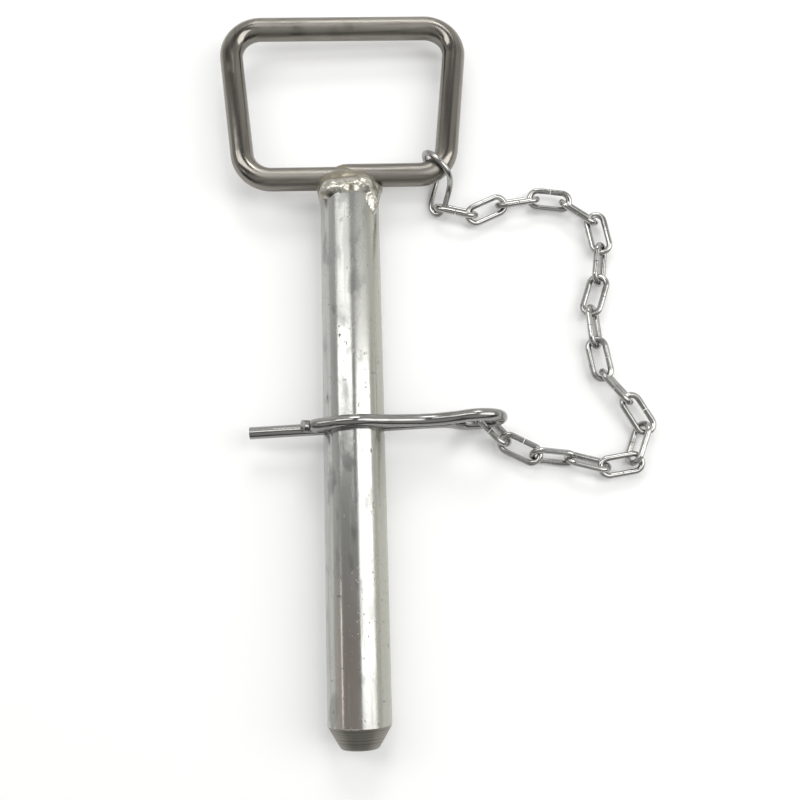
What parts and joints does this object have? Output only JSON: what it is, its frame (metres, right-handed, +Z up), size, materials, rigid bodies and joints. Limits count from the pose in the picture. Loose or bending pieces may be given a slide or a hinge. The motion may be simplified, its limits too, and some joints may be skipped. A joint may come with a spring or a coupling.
{
  "type": "retaining pin",
  "caption": "Zinc-plated hitch pin with a bent-rod handle, a cross hole, and a wire spring clip kept on a short-link chain.",
  "frame": {"origin": "where the axis of the cross hole meets the shank's axis", "axes": "+Y along the shank towards the handle, +Z up from the floor the pin lies on, +X towards the clip's eye"},
  "size_m": [0.1819, 0.3104, 0.0302],
  "materials": {
    "shank_zinc": "zinc plated, turned",
    "handle_zinc": "zinc plated, drawn rod",
    "weld_zinc": "zinc plated over a weld",
    "clip_zinc": "zinc plated spring wire",
    "chain_zinc": "bright zinc plated wire"
  },
  "bodies": {
    "pin": {"shank": "shank_zinc", "handle": "handle_zinc", "weld_bead": "weld_zinc"},
    "clip": {"spring_clip": "clip_zinc"},
    "link_01": {"link_01": "chain_zinc"},
    "link_02": {"link_02": "chain_zinc"},
    "link_03": {"link_03": "chain_zinc"},
    "link_04": {"link_04": "chain_zinc"},
    "link_05": {"link_05": "chain_zinc"},
    "link_06": {"link_06": "chain_zinc"},
    "link_07": {"link_07": "chain_zinc"},
    "link_08": {"link_08": "chain_zinc"},
    "link_09": {"link_09": "chain_zinc"},
    "link_10": {"link_10": "chain_zinc"},
    "link_11": {"link_11": "chain_zinc"},
    "link_12": {"link_12": "chain_zinc"},
    "link_13": {"link_13": "chain_zinc"},
    "link_14": {"link_14": "chain_zinc"},
    "link_15": {"link_15": "chain_zinc"},
    "link_16": {"link_16": "chain_zinc"},
    "link_17": {"link_17": "chain_zinc"},
    "link_18": {"link_18": "chain_zinc"},
    "link_19": {"link_19": "chain_zinc"}
  },
  "joints": [
    {"name": "clip_slide", "type": "slide", "parent": "pin", "child": "clip", "axis": [0.9995, 0.0314, 0], "range_m": [0, 0.056], "deforming": ["spring_clip"]},
    {"name": "link_01_swing", "type": "hinge", "parent": "pin", "child": "link_01", "pos_m": [0.0298, 0.1234, -0.00104], "axis": [0, 0, 1], "range_deg": [0, 2.85]},
    {"name": "link_02_swing", "type": "hinge", "parent": "link_01", "child": "link_02", "pos_m": [0.03769, 0.09833, -0.00798], "axis": [0, 0, 1], "range_deg": [-15.1, 0]},
    {"name": "link_03_swing", "type": "hinge", "parent": "link_02", "child": "link_03", "pos_m": [0.05463, 0.09397, -0.00798], "axis": [0, 0, 1], "range_deg": [-15.05, 0]},
    {"name": "link_04_swing", "type": "hinge", "parent": "link_03", "child": "link_04", "pos_m": [0.0645, 0.09827, -0.00798], "axis": [0, 0, 1], "range_deg": [-3.75, 0]},
    {"name": "link_05_swing", "type": "hinge", "parent": "link_04", "child": "link_05", "pos_m": [0.08185, 0.10057, -0.00798], "axis": [0, 0, 1], "range_deg": [0, 15.05]},
    {"name": "link_06_swing", "type": "hinge", "parent": "link_05", "child": "link_06", "pos_m": [0.09267, 0.09896, -0.00798], "axis": [0, 0, 1], "range_deg": [0, 15.05]},
    {"name": "link_07_swing", "type": "hinge", "parent": "link_06", "child": "link_07", "pos_m": [0.10675, 0.08857, -0.00798], "axis": [0, 0, 1], "range_deg": [0, 15.05]},
    {"name": "link_08_swing", "type": "hinge", "parent": "link_07", "child": "link_08", "pos_m": [0.10851, 0.07811, -0.00798], "axis": [0, 0, 1], "range_deg": [0, 13.7]},
    {"name": "link_09_swing", "type": "hinge", "parent": "link_08", "child": "link_09", "pos_m": [0.10594, 0.0608, -0.00798], "axis": [0, 0, 1], "range_deg": [0, 4.15]},
    {"name": "link_19_swing", "type": "hinge", "parent": "clip", "child": "link_19", "pos_m": [0.05534, 0.00174, -0.00781], "axis": [0, 0, 1], "range_deg": [-55.05, 0]},
    {"name": "link_18_swing", "type": "hinge", "parent": "link_19", "child": "link_18", "pos_m": [0.06353, -0.00736, -0.00798], "axis": [0, 0, 1], "range_deg": [0, 15.15]},
    {"name": "link_17_swing", "type": "hinge", "parent": "link_18", "child": "link_17", "pos_m": [0.07328, -0.01245, -0.00798], "axis": [0, 0, 1], "range_deg": [0, 15.2]},
    {"name": "link_16_swing", "type": "hinge", "parent": "link_17", "child": "link_16", "pos_m": [0.09063, -0.01477, -0.00798], "axis": [0, 0, 1], "range_deg": [0, 15.2]},
    {"name": "link_15_swing", "type": "hinge", "parent": "link_16", "child": "link_15", "pos_m": [0.10444, -0.01862, -0.00798], "axis": [0, 0, 1], "range_deg": [0, 15.2]},
    {"name": "link_14_swing", "type": "hinge", "parent": "link_15", "child": "link_14", "pos_m": [0.11434, -0.01715, -0.00798], "axis": [0, 0, 1], "range_deg": [0, 15.1]},
    {"name": "link_13_swing", "type": "hinge", "parent": "link_14", "child": "link_13", "pos_m": [0.12077, -0.00088, -0.00798], "axis": [0, 0, 1], "range_deg": [-8.3, 0]},
    {"name": "link_12_swing", "type": "hinge", "parent": "link_13", "child": "link_12", "pos_m": [0.11578, 0.00834, -0.00798], "axis": [0, 0, 1], "range_deg": [-4.35, 0]},
    {"name": "link_11_swing", "type": "hinge", "parent": "link_12", "child": "link_11", "pos_m": [0.10491, 0.02206, -0.00798], "axis": [0, 0, 1], "range_deg": [0, 12.2]},
    {"name": "link_10_swing", "type": "hinge", "parent": "link_11", "child": "link_10", "pos_m": [0.10331, 0.03291, -0.00798], "axis": [0, 0, 1], "range_deg": [0, 3.45]}
  ],
  "couplings": [
    {"joint": "link_01_swing", "follows": "clip_slide", "rad_per_m": 0.88008},
    {"joint": "link_02_swing", "follows": "clip_slide", "rad_per_m": -4.6931},
    {"joint": "link_03_swing", "follows": "clip_slide", "rad_per_m": -4.6873},
    {"joint": "link_04_swing", "follows": "clip_slide", "rad_per_m": -1.1514},
    {"joint": "link_05_swing", "follows": "clip_slide", "rad_per_m": 4.6766},
    {"joint": "link_06_swing", "follows": "clip_slide", "rad_per_m": 4.6807},
    {"joint": "link_07_swing", "follows": "clip_slide", "rad_per_m": 4.6821},
    {"joint": "link_08_swing", "follows": "clip_slide", "rad_per_m": 4.2659},
    {"joint": "link_09_swing", "follows": "clip_slide", "rad_per_m": 1.2788},
    {"joint": "link_19_swing", "follows": "clip_slide", "rad_per_m": -17.153},
    {"joint": "link_18_swing", "follows": "clip_slide", "rad_per_m": 4.7035},
    {"joint": "link_17_swing", "follows": "clip_slide", "rad_per_m": 4.7247},
    {"joint": "link_16_swing", "follows": "clip_slide", "rad_per_m": 4.7279},
    {"joint": "link_15_swing", "follows": "clip_slide", "rad_per_m": 4.7212},
    {"joint": "link_14_swing", "follows": "clip_slide", "rad_per_m": 4.6971},
    {"joint": "link_13_swing", "follows": "clip_slide", "rad_per_m": -2.5743},
    {"joint": "link_12_swing", "follows": "clip_slide", "rad_per_m": -1.347},
    {"joint": "link_11_swing", "follows": "clip_slide", "rad_per_m": 3.7953},
    {"joint": "link_10_swing", "follows": "clip_slide", "rad_per_m": 1.0583}
  ]
}
